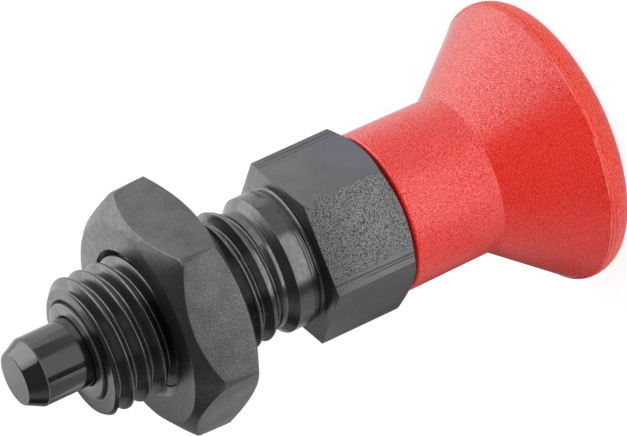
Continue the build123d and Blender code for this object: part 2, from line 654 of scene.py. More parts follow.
@dataclass(frozen=True)
class HexagonBarSteel(Metal):
    """The skin of drawn hexagon bar: grained, pitted on one flat, scored beside one edge of each flat.

    Args:
        tint: the bluer grey that the rear of one flat turns to.
        tinted_flat: number of that flat, counted round from -Y towards +X.
        tinted_from: heights between which the tint comes up, in metres.
        tint_share: the tint's share at the rear.
        half_flat: half the width of a flat, in metres.
        scored: width of the scored strip beside an edge, in metres.
        strip_edge: width over which the strip comes up, in metres.
        score_scale: scores in a metre.
        score_band: values of the scores' noise between which a score ends.
        score_shift: metres by which the scores differ from flat to flat.
        score_length: how slowly the scores change along the bar, where 1 is as fast as across it.
        score_share: how dark the scores are.
        pitted_from: depth along -Y from which the skin is pitted, in metres.
        pitted_edge: depth over which the pits come up, in metres.
        pit_scale: pits in a metre.
        pit_band: values of the pits' noise between which a pit ends.
        pit_share: how dark the pits are.
        open_skin: grey of the pitted skin between its pits.
        open_share: that grey's share there.
        marked: grey at the bottom of pits and scores.
        mark_depth: depth of pits and scores, where the grain's height is 1.
    """

    tint: Colour = (0.165, 0.17, 0.21)
    tinted_flat: float = 1.0
    tinted_from: Point = (-0.007, -0.0025)
    tint_share: float = 0.85
    half_flat: float = 0.00404
    scored: float = 0.0013
    strip_edge: float = 0.00012
    score_scale: float = 4200.0
    score_band: Point = (0.36, 0.46)
    score_shift: float = 0.01
    score_length: float = 0.012
    score_share: float = 0.55
    pitted_from: float = 0.0069
    pitted_edge: float = 0.0001
    pit_scale: float = 12500.0
    pit_band: Point = (0.36, 0.5)
    pit_share: float = 0.75
    open_skin: Opaque = (0.3, 0.3, 0.3, 1.0)
    open_share: float = 0.4
    marked: Opaque = (0.02, 0.02, 0.02, 1.0)
    mark_depth: float = 1.5

    def across(self, shader: Shader, x: Socket, y: Socket) -> tuple[Socket, Socket]:
        """Finds a place on the hexagon.

        Args:
            shader: the material's shader builder.
            x: X of the place.
            y: Y of the place.

        Returns:
            The distance from the middle of its flat, and the flat's number.
        """
        angle = shader.math("ARCTAN2", x, shader.math("MULTIPLY", y, -1.0))
        sixths = shader.math("DIVIDE", angle, math.pi / 3)
        number = shader.math("ROUND", sixths)
        folded = shader.math("MULTIPLY", shader.math("SUBTRACT", sixths, number), math.pi / 3)
        return shader.math("MULTIPLY", shader.radius(x, y), shader.math("SINE", folded)), number

    def strip(self, shader: Shader, across: Socket, number: Socket) -> Socket:
        """Masks the strip beside one edge of each flat.

        Args:
            shader: the material's shader builder.
            across: distance from the middle of the flat.
            number: the flat's number.

        Returns:
            The mask.
        """
        side = shader.math("SIGN", shader.math("MULTIPLY_ADD", number, 2.0, -1.0))
        start = self.half_flat - self.scored
        return shader.remap(shader.math("MULTIPLY", across, side), start, start + self.strip_edge)

    def scores(self, shader: Shader, across: Socket, number: Socket, z: Socket) -> Socket:
        """Makes the long scores that drawing leaves, other ones on each flat.

        Args:
            shader: the material's shader builder.
            across: distance from the middle of the flat.
            number: the flat's number.
            z: height of the place.

        Returns:
            The scores, as a mask.
        """
        shifted = shader.math("MULTIPLY_ADD", number, self.score_shift, across)
        drawn = shader.math("MULTIPLY", z, self.score_length)
        place = shader.joined(shifted, drawn)
        pattern = shader.noise(place, self.score_scale, detail=2.0, dimensions="2D")
        return shader.remap(pattern, *self.score_band, 1.0, 0.0)

    def build(self, effects: Effects) -> Material:
        """Makes the material.

        Args:
            effects: the shared shader groups.

        Returns:
            The material.
        """
        material, shader, bsdf = new_material(self.name)
        place = shader.place()
        x, y, z = shader.split(place)
        across, number = self.across(shader, x, y)
        strip = self.strip(shader, across, number)
        share = GRAIN_SHARE[Surface.BLASTED]  # it is grained as a blasted skin is
        mottle = effects.mottled(shader, place, self.blotch_scale, self.grain_scale, share).outputs

        depth = shader.math("MULTIPLY", y, -1.0)
        pitted = shader.remap(depth, self.pitted_from - self.pitted_edge, self.pitted_from)
        between = shader.math("MULTIPLY", pitted, shader.math("SUBTRACT", 1.0, strip))
        pits = shader.noise(place, self.pit_scale, detail=0.5)
        pit = shader.math("MULTIPLY", shader.remap(pits, *self.pit_band, 1.0, 0.0), between)
        score = shader.math("MULTIPLY", self.scores(shader, across, number, z), strip)
        pit = shader.math("MULTIPLY", pit, self.pit_share)
        score = shader.math("MULTIPLY", score, self.score_share)
        marks = shader.math("MAXIMUM", pit, score)

        rear = shader.remap(z, *self.tinted_from, self.tint_share, 0.0)
        on_flat = shader.math("COMPARE", number, self.tinted_flat, 0.1)  # numbers are whole
        blue = shader.math("MULTIPLY", rear, on_flat)
        skin = shader.blend(blue, self.greys(shader, mottle["Mask"]), self.tint + (1.0,))
        skin = shader.blend(shader.math("MULTIPLY", between, self.open_share), skin, self.open_skin)
        sunk = shader.math("MULTIPLY", marks, self.mark_depth)
        shader.feed(bsdf, {
            "Metallic": self.metallic,
            "Base Color": shader.blend(marks, skin, self.marked),
            "Roughness": self.gloss(shader, mottle["Mask"]),
            "Normal": shader.bump(shader.math("SUBTRACT", mottle["Height"], sunk), self.relief),
        })
        return material


@dataclass(frozen=True)
class MouldedPlastic:
    """The grip's plastic, pebbled by the mould or nearly smooth.

    Args:
        name: the material's name.
        colour: its red.
        roughness: how matt it is, from 0 to 1.
        pebble_depth: height of the pebbles, in metres.
        mirror: how strongly it mirrors, where 0.5 is plain plastic.
        hollow_shade: how much darker the hollows between the pebbles are painted, as painted shade, from 0
            to 1.
        flash_highlight_radius: radius of the painted highlight along the line of flash, in metres, or 0
            for none.
        flash_highlight_colour: the painted highlight's pale colour.
        flash_highlight_share: that colour's share in the line.
        flash_highlight_edge: distances from the line's middle between which it fades, in metres.
        flash_highlight_scale: breaks of the painted highlight in a metre.
        flash_highlight_band: values of the breaks' noise between which the line starts.
        pebble_scale: pebbles in a metre.
        crest_band: values of the pebbles' noise between which a crest starts.
        drift_scale: places with another red in a metre.
        index: the plastic's refractive index.
        crest_roughness: how matt the pebbles' polished crests are, from 0 to 1.
        crest_index: refractive index of the crests' skin.
        edge_band: how far the surface turns away, from 0 to 1, while the crests lose their shine.
        edge_coat: share of that shine that is left.
    """

    name: str
    colour: Colour
    roughness: float
    pebble_depth: float
    mirror: float
    hollow_shade: float
    flash_highlight_radius: float = 0.0
    flash_highlight_colour: Opaque = (0.95, 0.34, 0.26, 1.0)
    flash_highlight_share: float = 0.65
    flash_highlight_edge: Point = (0.00001, 0.00003)
    flash_highlight_scale: float = 260.0
    flash_highlight_band: Point = (0.44, 0.52)
    pebble_scale: float = 13000.0
    crest_band: Point = (0.43, 0.57)
    drift_scale: float = 220.0
    index: float = 1.55
    crest_roughness: float = 0.34
    crest_index: float = 2.05
    edge_band: Point = (0.55, 0.85)
    edge_coat: float = 0.35

    def shade(self, red: float, others: float) -> Opaque:
        """Gives the plastic's colour, its red and its green and blue changed by these factors."""
        return min(self.colour[0] * red, 1.0), self.colour[1] * others, self.colour[2] * others, 1.0

    def build(self) -> Material:
        """Makes the material.

        Returns:
            The material.
        """
        material, shader, bsdf = new_material(self.name)
        place = shader.place()
        pebbles = shader.noise(place, self.pebble_scale, detail=0.0)
        crest = shader.remap(pebbles, *self.crest_band)
        # The hollows between the pebbles are painted a darker red: painted shade.
        painted_hollow_shade = shader.math("MULTIPLY", shader.math("SUBTRACT", 1.0, crest), self.hollow_shade)
        drift = shader.noise(place, self.drift_scale, detail=2.0)
        skin = shader.blend(drift, self.shade(0.95, 0.85), self.shade(1.04, 1.15))
        skin = shader.blend(painted_hollow_shade, skin, self.shade(0.5, 0.2))
        # A pale line along the rim's flash, broken here and there, is a painted highlight.
        if self.flash_highlight_radius:
            skin = shader.blend(self.flash(shader, place), skin, self.flash_highlight_colour)
        facing = shader.node("ShaderNodeLayerWeight").outputs["Facing"]
        shine = shader.remap(facing, *self.edge_band, 1.0, self.edge_coat)
        shader.feed(bsdf, {
            "Base Color": skin,
            "Roughness": self.roughness,
            "IOR": self.index,
            "Specular IOR Level": self.mirror,
            "Coat Weight": shader.math("MULTIPLY", crest, shine),
            "Coat Roughness": self.crest_roughness,
            "Coat IOR": self.crest_index,
            "Normal": shader.bump(pebbles, self.pebble_depth),
        })
        return material

    def flash(self, shader: Shader, place: Socket) -> Socket:
        """Masks the painted highlight along the line of flash, which comes and goes round the rim.

        Args:
            shader: the material's shader builder.
            place: the piece's own coordinates.

        Returns:
            The mask.
        """
        x, y, _ = shader.split(place)
        away = shader.math("ABSOLUTE", shader.math("SUBTRACT", shader.radius(x, y), self.flash_highlight_radius))
        line = shader.remap(away, *self.flash_highlight_edge, self.flash_highlight_share, 0.0)
        breaks = shader.noise(place, self.flash_highlight_scale, detail=3.0)
        return shader.math("MULTIPLY", line, shader.remap(breaks, *self.flash_highlight_band))


# ---- The plunger's pieces ----


def heights(node: str) -> Point:
    """Gives a CAD node's lowest and highest point, in millimetres."""
    low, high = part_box(node)
    return low.z / MM, high.z / MM


def dress(obj: Piece, node: str, body: str, materials: Sequence[Material],
          chooser: Callable[[Face], int] = lambda face: 0, smooth_angle: float = 32.0) -> None:
    """Finishes a piece and puts it in its node's place.

    Args:
        obj: the piece.
        node: the CAD node that it stands for.
        body: the body that it rides on.
        materials: its finishes.
        chooser: gives each face's finish by its place in materials.
        smooth_angle: edges sharper than this stay sharp, in degrees.
    """
    obj.data.materials.clear()
    for material in materials:
        obj.data.materials.append(material)
    for face in obj.data.polygons:
        face.material_index = chooser(face)
    make_active(obj)
    bpy.ops.object.shade_smooth_by_angle(angle=math.radians(smooth_angle))
    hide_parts(node)
    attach(obj, body)
    log.info("%s: %d faces on %s", obj.name, len(obj.data.polygons), body)


@dataclass
class Housing:
    """The hexagon collar and its threaded shank, turned from one bar.

    The collar's front face is at height 0, and the shank stands on it. The places along the shank
    are heights unless their comment says otherwise.
    """

    steel_flats: Material
    steel_turned: Material
    steel_faced: Material
    thread: MetricThread
    across_flats: float = 14.0
    broken_edge: float = 0.06
    end_radius: float = 6.8
    bore_radius: float = 4.2
    mouth_width: float = 0.25
    stem_bore: float = 2.08
    chamber_radius: float = 4.0
    rear_wall: float = 3.8
    bush_seat: float = 3.7  # from the shank's front face
    core_radius: float = 4.9
    band_radius: float = 6.0
    band_start: float = 1.06
    undercut: Point = (0.05, 0.5)
    undercut_radius: float = 5.74
    tool_steps: tuple[tuple[float, float, float], ...] = (  # depth under the band, start and end
        (0.1, 0.56, 0.68),
        (0.16, 0.72, 0.78),
        (0.07, 0.82, 0.92),
        (0.12, 0.96, 1.0),
    )
    lip: float = 2.49
    cone_foot_radius: float = 5.26
    cone_foot: float = 3.18
    run_out_radius: float = 5.1
    run_out: float = 3.98
    last_crest_radius: float = 5.82
    last_crest: Point = (0.62, 1.1)  # its start and end, from the run-out
    full_thread: float = 2.0  # from the run-out
    thread_start: float = 3.0  # where the winding starts, behind the cone's foot
    chamfer_length: float = 0.95
    rim_radius: float = 5.66
    rim_round: float = 0.3
    flats_from: float = 6.9  # radius, past every turned surface of the collar

    def collar(self, low: float) -> Piece:
        """Makes the collar, its rear corners turned off.

        Args:
            low: height of its rear face.

        Returns:
            The collar.
        """
        bar = hexagon_bar("housing_body", self.across_flats, low, 0.0, 0.0, edge=self.broken_edge)
        corner = hexagon_corner(self.across_flats) + 0.5
        rise = (corner - self.end_radius) * math.tan(THIRTY)
        keep = turned(
            "collar_envelope",
            (0, low),
            (self.end_radius, low, 0.1),
            (corner, low + rise),
            (corner, OVER),
            (0, OVER),
        )
        combine(bar, keep, "INTERSECT")
        return bar

    def shank_core(self, front: float) -> Piece:
        """Makes what is turned between the collar and the thread, and the core under the thread.

        Args:
            front: height of the shank's front face.

        Returns:
            The core, which reaches into the collar.
        """
        band, foot = self.band_radius, self.cone_foot
        edge_round = 0.02
        steps = [(band - depth, end, edge_round) for depth, *ends in self.tool_steps for end in ends]
        return turned(
            "shank_core",
            (0, -OVER),
            (band + 0.1, -OVER),
            (band + 0.1, 0.0),
            (self.undercut_radius, self.undercut[0], 0.28),
            (self.undercut_radius, self.undercut[1], 0.05),
            *steps,
            (band, self.band_start, 0.03),
            (band, self.lip, 0.03),
            (self.cone_foot_radius, foot, 0.04),
            (self.cone_foot_radius, foot + 0.06),
            (self.core_radius, foot + 0.06),
            (self.core_radius, front - OVER),
            (0, front - OVER),
        )

    def threaded_part(self, front: float) -> Piece:
        """Cuts the thread's length to shape: chamfered in front, relieved behind.

        Args:
            front: height of the shank's front face.

        Returns:
            The threaded part.
        """
        rod = self.thread.rod("shank_thread", self.thread_start, front + OVER / 2)
        past = self.thread.crest_radius + 0.3
        start, end = self.last_crest
        keep = turned(
            "thread_envelope",
            (0, self.cone_foot),
            (self.cone_foot_radius, self.cone_foot),
            (self.cone_foot_radius, self.cone_foot + 0.3, 0.04),
            (self.run_out_radius, self.run_out, 0.08),
            (self.last_crest_radius, self.run_out + start, 0.06),
            (self.last_crest_radius, self.run_out + end),
            (past, self.run_out + self.full_thread),
            (past, front - self.chamfer_length),
            (self.rim_radius, front, self.rim_round),
            (0, front),
        )
        combine(rod, keep, "INTERSECT")
        return rod

    def bore(self, low: float, front: float) -> Piece:
        """Makes the stepped bore as a solid to cut with.

        Args:
            low: height of the collar's rear face.
            front: height of the shank's front face.

        Returns:
            The bore.
        """
        floor = low + self.rear_wall
        seat = front - self.bush_seat
        return turned(
            "stepped_bore",
            (0, low - OVER),
            (self.stem_bore, low - OVER),
            (self.stem_bore, floor),
            (self.chamber_radius, floor),
            (self.chamber_radius, seat),
            (self.bore_radius, seat),
            (self.bore_radius, front - self.mouth_width),
            (self.bore_radius + self.mouth_width + OVER, front + OVER),
            (0, front + OVER),
        )

    def finish_of(self, face: Face) -> int:
        """Tells the drawn flats, the turned surfaces and the collar's front face apart.

        Args:
            face: a face of the housing.

        Returns:
            0 for the flats, 1 for turned surfaces, 2 for the collar's front face.
        """
        if face.normal.z > 0.9 and abs(face.center.z) < 0.1 * MM:
            return 2
        upright = abs(face.normal.z) < 0.02
        outside = face.center.xy.length > self.flats_from * MM
        return 0 if upright and outside and face.center.z < 0 else 1

    def build(self) -> None:
        """Makes the housing and puts it in place."""
        low, front = heights("housing")
        piece = self.collar(low)
        combine(piece, self.shank_core(front), "UNION")
        combine(piece, self.threaded_part(front), "UNION")
        combine(piece, self.bore(low, front), "DIFFERENCE")
        close_skin(piece)
        steels = [self.steel_flats, self.steel_turned, self.steel_faced]
        dress(piece, "housing", "body", steels, self.finish_of)


@dataclass
class GuideBush:
    """The bright bush in the housing's mouth."""

    steel: Material
    outer_radius: float = 4.2
    bore_radius: float = 3.04

    def build(self) -> None:
        """Makes the bush and puts it in place."""
        low, high = heights("guide_bush")
        piece = turned(
            "guide_bush_ring",
            (self.bore_radius, low),
            (self.outer_radius, low),
            (self.outer_radius, high, 0.1),
            (self.bore_radius, high, 0.22),
            closed=True,
        )
        dress(piece, "guide_bush", "body", [self.steel])


@dataclass
class LockingPin:
    """The pin: chamfered nose, shoulder and grooved stem."""

    steel: Material
    pin_radius: float = 3.0
    tip_radius: float = 2.26
    taper: float = 1.46
    eased: float = 0.12  # share of the taper at each end that runs into its rounds
    taper_round: float = 0.25
    tip_round: float = 0.12
    flat_before: float = 0.15  # flat strip beside each of these rounds
    shoulder_radius: float = 3.92
    shoulder: Point = (13.85, 16.25)  # heights of its rear and its front
    stem_radius: float = 2.0
    groove_radius: float = 1.65
    groove: Point = (-16.4, -14.8)  # heights of its rear and its front

    def build(self) -> None:
        """Makes the pin and puts it in place."""
        low, tip = heights("locking_pin")
        lean = self.pin_radius - self.tip_radius
        straight = 1 - self.eased
        piece = turned(
            "locking_pin_body",
            (0, low),
            (self.stem_radius, low, 0.2),
            (self.stem_radius, self.groove[0]),
            (self.groove_radius, self.groove[0]),
            (self.groove_radius, self.groove[1]),
            (self.stem_radius, self.groove[1]),
            (self.stem_radius, self.shoulder[0]),
            (self.shoulder_radius, self.shoulder[0], 0.1),
            (self.shoulder_radius, self.shoulder[1], 0.1),
            (self.pin_radius, self.shoulder[1]),
            (self.pin_radius, tip - self.taper - self.flat_before),
            (self.pin_radius, tip - self.taper, self.taper_round),
            (self.pin_radius - self.eased * lean, tip - self.taper * straight),
            (self.pin_radius - straight * lean, tip - self.taper * self.eased),
            (self.tip_radius, tip, self.tip_round),
            (self.tip_radius - self.flat_before, tip),
            (0, tip),
        )
        dress(piece, "locking_pin", "plunger", [self.steel])


@dataclass
class CoilSpring:
    """The compression spring, closed and ground flat at both ends."""

    steel: Material
    wire_radius: float = 0.4
    wire_flats: int = 12
    coil_radius: float = 3.3
    coils: float = 8.5
    closed_pitch: float = 0.86
    steps: int = 36  # in one coil
    shortest: float = 0.67  # share of its length left when the pin is drawn back

    def build(self) -> None:
        """Winds the spring and puts it in place."""
        low, high = heights("compression_spring")
        sunk = self.wire_radius / 2  # how much of the wire is ground off at each end
        active = high - low + 2 * sunk - 2 * self.closed_pitch
        pitch = active / (self.coils - 2)
        turn = math.tau / self.steps
        deselect_all()
        bpy.ops.mesh.primitive_circle_add(
            vertices=self.wire_flats,
            radius=self.wire_radius * MM,
            fill_type="NGON",
            location=(self.coil_radius * MM, 0, (low - sunk) * MM),
            rotation=(math.pi / 2, 0, 0),
        )
        piece = bpy.context.object
        piece.name = "compression_spring_coil"
        bpy.ops.object.transform_apply(location=True, rotation=True, scale=True)
        bpy.ops.object.mode_set(mode="EDIT")
        bpy.ops.mesh.select_all(action="SELECT")
        for step in range(round(self.coils * self.steps)):
            coil = (step + 0.5) / self.steps
            closed = coil < 1 or coil > self.coils - 1
            rise = (self.closed_pitch if closed else pitch) / self.steps
            bpy.ops.mesh.extrude_region_move(TRANSFORM_OT_translate={"value": (0, 0, rise * MM)})
            bpy.ops.transform.rotate(value=-turn, orient_axis="Z", center_override=(0, 0, 0))
        bpy.ops.object.mode_set(mode="OBJECT")
        cut_to_length(piece, low, high)
        dress(piece, "compression_spring", "spring", [self.steel], smooth_angle=40.0)
        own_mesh(piece)


@dataclass
class Grip:
    """The mushroom grip moulded on the stem."""

    pebbled: Material
    smooth: Material
    neck_radius: float = 7.04
    neck_round: float = 0.25
    throat_radius: float = 6.95
    throat_round: float = 0.12
    neck_length: float = 8.58
    head_radius: float = 12.5
    crown_radius: float = 2.05
    shoulder_rise: float = 0.35  # from the parting line to where the cone starts
    shoulder_round: float = 0.25
    stem_radius: float = 2.0
    seam: float = 0.03  # depth of the parting line
    seam_half: float = 0.06  # half its width
    seam_round: float = 0.01
    flash_height: float = 0.05
    flash_places: tuple[float, ...] = (0.14, 0.18, 0.22, 0.26)  # up the cone: foot, top, top, foot
    rim_from: float = 6.0  # radius, past the stem's bore

    def flash(self, shoulder: float, throat: float) -> list[Point]:
        """Draws the thin line of flash that the mould leaves where the cone starts.

        Args:
            shoulder: height where the cone starts.
            throat: height where it ends.

        Returns:
            Radius and height of the line's corners.
        """
        rise = Vector((self.throat_radius - self.head_radius, throat - shoulder)).normalized()
        outward = Vector((rise.y, -rise.x))
        start = Vector((self.head_radius, shoulder))
        outs = (0.0, self.flash_height, self.flash_height, 0.0)
        return [tuple(start + rise * up + outward * out) for up, out in zip(self.flash_places, outs)]

    def build(self) -> None:
        """Makes the grip and puts it in place."""
        cap, neck = heights("pull_knob")
        stem_end, _ = heights("locking_pin")
        throat = neck - self.neck_length
        parting = cap + self.crown_radius
        shoulder = parting + self.shoulder_rise
        piece = turned(
            "pull_knob_grip",
            (0, cap),
            (self.head_radius, cap, self.crown_radius),
            (self.head_radius, parting - self.seam_half, self.seam_round),
            (self.head_radius - self.seam, parting, self.seam_round),
            (self.head_radius, parting + self.seam_half, self.seam_round),
            (self.head_radius, shoulder, self.shoulder_round),
            *self.flash(shoulder, throat),
            (self.throat_radius, throat, self.throat_round),
            (self.neck_radius, neck, self.neck_round),
            (self.stem_radius, neck),
            (self.stem_radius, stem_end),
            (0, stem_end),
            steps=192,
        )
        rim = (shoulder + 0.1) * MM  # the rim and the crown are nearly smooth up to here
        dress(piece, "pull_knob", "plunger", [self.pebbled, self.smooth],
              lambda face: int(face.center.z < rim and face.center.xy.length > self.rim_from * MM))


@dataclass
class LockNut:
    """The lock nut, threaded and chamfered on both faces."""

    steel_flats: Material
    steel_turned: Material
    thread: MetricThread
    across_flats: float = 19.0
    turn: float = -6.0
    broken_edge: float = 0.05
    rear_face: float = 8.95
    front_face: float = 8.85
    front_corner: float = 10.78
    front_chamfer: float = 41.0  # degrees from the face
    sink_radius: float = 6.5
    bore_radius: float = 5.3
    worn: float = 0.24  # width of the worn edges between flats and chamfers
    worn_angle: float = 36.0  # degrees: only sharper edges are worn
    flats_from: float = 8.0  # radius, past the hole

    def build(self) -> None:
        """Makes the nut and puts it in place."""
        low, high = heights("lock_nut")
        piece = hexagon_bar("lock_nut_body", self.across_flats, low, high, self.turn, self.broken_edge)
        corner = hexagon_corner(self.across_flats) + 0.01
        front_slope = math.tan(math.radians(self.front_chamfer))
        keep = turned(
            "nut_envelope",
            (0, low),
            (self.rear_face, low, 0.12),
            (corner, low + (corner - self.rear_face) * math.tan(THIRTY)),
            (self.front_corner, high - (self.front_corner - self.front_face) * front_slope),
            (self.front_face, high, 0.2),
            (0, high),
            steps=192,
        )
        combine(piece, keep, "INTERSECT")
        close_skin(piece)
        apply_modifier(piece, "BEVEL", width=self.worn * MM, segments=3, limit_method="ANGLE",
                       angle_limit=math.radians(self.worn_angle), use_clamp_overlap=True,
                       miter_outer="MITER_ARC")
        combine(piece, self.tapped_hole(low, high), "DIFFERENCE")
        close_skin(piece)
        steels = [self.steel_flats, self.steel_turned]
        dress(piece, "lock_nut", "nut", steels, self.finish_of)

    def tapped_hole(self, low: float, high: float) -> Piece:
        """Makes the threaded hole with its countersinks as a solid to cut with.

        Args:
            low: height of the nut's rear face.
            high: height of its front face.

        Returns:
            The hole.
        """
        hole = self.thread.rod("nut_thread", low - OVER, high + OVER)
        sink = self.sink_radius - self.bore_radius
        past, wide = 0.9, self.sink_radius + 0.5
        sinks = turned(
            "nut_sinks",
            (0, low - past),
            (wide, low - past),
            (self.sink_radius, low),
            (self.bore_radius, low + sink),
            (self.bore_radius, high - sink),
            (self.sink_radius, high),
            (wide, high + past),
            (0, high + past),
        )
        combine(hole, sinks, "UNION")
        return hole

    def finish_of(self, face: Face) -> int:
        """Tells the flats, 0, from the turned faces, 1."""
        outside = face.center.xy.length > self.flats_from * MM
        return 0 if outside and abs(face.normal.z) < 0.03 else 1


# ---- The studio ----


def aim(azimuth: float, elevation: float) -> Vector:
    """Gives a direction.

    Args:
        azimuth: degrees round from -Y towards +X.
        elevation: degrees up.

    Returns:
        The direction, 1 long.
    """
    way, rise = math.radians(azimuth), math.radians(elevation)
    return Vector((math.sin(way) * math.cos(rise), -math.cos(way) * math.cos(rise), math.sin(rise)))


def stage_material(name: str) -> tuple[Material, Shader, Socket]:
    """Starts a material for the floor or a screen.

    Args:
        name: its name.

    Returns:
        The material, its shader builder and its empty surface socket.
    """
    material, shader, principled = new_material(name)
    shader.tree.nodes.remove(principled)
    return material, shader, shader.tree.nodes["Material Output"].inputs["Surface"]


@dataclass(frozen=True)
class SoftBox:
    """A large lamp that faces the plunger.

    Args:
        name: the lamp's name.
        azimuth: degrees round from -Y towards +X.
        elevation: degrees up.
        distance: metres from the plunger.
        size: its width and height, in metres.
        brightness: how bright its face is, where 1 shows as white.
        mirrored: whether bright surfaces show it.
    """

    name: str
    azimuth: float
    elevation: float
    distance: float
    size: Point
    brightness: float
    mirrored: bool = True

    def build(self) -> None:
        """Adds the lamp."""
        data = bpy.data.lights.new(self.name, "AREA")
        data.shape = "RECTANGLE"
        data.size, data.size_y = self.size
        data.energy = self.brightness * math.pi * self.size[0] * self.size[1]
        lamp = bpy.data.objects.new(self.name, data)
        bpy.context.scene.collection.objects.link(lamp)
        direction = aim(self.azimuth, self.elevation)
        lamp.location = direction * self.distance
        lamp.rotation_euler = direction.to_track_quat("Z", "Y").to_euler()
        lamp.visible_glossy = self.mirrored


@dataclass(frozen=True)
class Screen:
    """An upright screen near the plunger, which only reflections see.

    Args:
        name: the screen's name.
        azimuth: where its middle stands, in degrees round from -Y towards +X.
        distance: metres from the axis to its middle.
        width: metres.
        low: height of its lower edge, in metres.
        high: height of its upper edge, in metres.
        brightness: how bright it is, where 1 shows as white.
        aside: metres that it stands aside from the azimuth, towards a larger one.
    """

    name: str
    azimuth: float
    distance: float
    width: float
    low: float
    high: float
    brightness: float
    aside: float = 0.0

    def build(self) -> None:
        """Adds the screen."""
        outward = aim(self.azimuth, 0.0)
        along = Vector((-outward.y, outward.x, 0))
        deselect_all()
        bpy.ops.mesh.primitive_plane_add(size=1.0)
        screen = bpy.context.object
        screen.name = self.name
        screen.scale = (self.width, self.high - self.low, 1.0)
        screen.rotation_euler = outward.to_track_quat("Z", "Y").to_euler()
        screen.location = outward * self.distance + along * self.aside
        screen.location.z = (self.low + self.high) / 2
        material, shader, surface = stage_material(self.name)
        glow = shader.node("ShaderNodeEmission", {"Strength": self.brightness})
        shader.link(glow.outputs[0], surface)
        screen.data.materials.append(material)
        screen.visible_camera = False
        screen.visible_diffuse = False
        screen.visible_shadow = False
        screen.visible_transmission = False


@dataclass(frozen=True)
class ScreenRing:
    """Screens side by side at one distance, which stand for what lies round the floor's near part.

    Args:
        name: the ring's name.
        distance: metres from the axis.
        low: the lower edges' height above the floor, in metres.
        high: the upper edges' height above the floor, in metres.
        panels: azimuth, half width in degrees, and brightness of each screen.
    """

    name: str
    distance: float
    low: float
    high: float
    panels: tuple[tuple[float, float, float], ...]

    def build(self, floor: float) -> None:
        """Adds the screens.

        Args:
            floor: the floor's height, in metres.
        """
        for azimuth, half, brightness in self.panels:
            width = 2 * self.distance * math.tan(math.radians(half))
            name = f"screen_{self.name}_{azimuth:.0f}"
            low, high = floor + self.low, floor + self.high
            Screen(name, azimuth, self.distance, width, low, high, brightness).build()


LAMPS = (
    SoftBox("key_wall", 94.0, 36.0, 0.6, (1.4, 0.53), 1.0),
    SoftBox("near_fill", -12.0, 10.0, 0.7, (0.6, 0.6), 2.75, mirrored=False),
    SoftBox("left_fill", -60.0, 5.0, 0.7, (0.6, 0.6), 1.55, mirrored=False),
)
FRONT = (-2.5, 38.7)  # azimuth and half width of the screens in front
SIDES = ((-52.0, 9.9, 0.15), (-100.0, 37.0, 0.55), (39.7, 3.5, 0.3), (71.0, 28.0, 0.55))
RINGS = (
    ScreenRing("under", 0.022, 0.0, 0.0095, ((-103.0, 37.7, 0.34), (-158.0, 32.5, 0.05))),
    ScreenRing("lowest", 0.045, 0.0, 0.0065, ((*FRONT, 1.45), *SIDES)),
    ScreenRing("lower", 0.045, 0.0065, 0.013, ((*FRONT, 2.2), *SIDES)),
    ScreenRing("middle", 0.045, 0.013, 0.022, ((*FRONT, 1.3), *SIDES)),
    ScreenRing("upper", 0.075, 0.008, 0.0205, (
        (-2.5, 39.0, 0.62), (-51.5, 9.5, 0.15), (-100.0, 38.5, 0.5),
        (40.0, 3.5, 0.3), (71.5, 28.0, 0.55), (-158.0, 19.0, 0.65))),
    ScreenRing("top", 0.075, 0.0205, 0.03, (
        (0.5, 29.5, 0.66), (-38.5, 9.5, 0.03), (-84.5, 36.5, 0.38),
        (-150.5, 29.5, 0.22), (50.5, 20.5, 0.26), (81.5, 10.5, 0.75))),
)
# Azimuth, elevation, outer and inner radius in degrees, and brightness of each zone of the
# backdrop, which is white elsewhere; a later zone covers the ones before it.
BACKDROP_ZONES = (
    (-95.0, 20.0, 60.0, 35.0, 0.32),
    (-15.0, 25.0, 65.0, 40.0, 0.12),
    (0.0, 90.0, 55.0, 38.0, 0.1),
    (-145.0, 2.0, 50.0, 30.0, 0.05),
    (180.0, 22.0, 35.0, 22.0, 1.3),
)


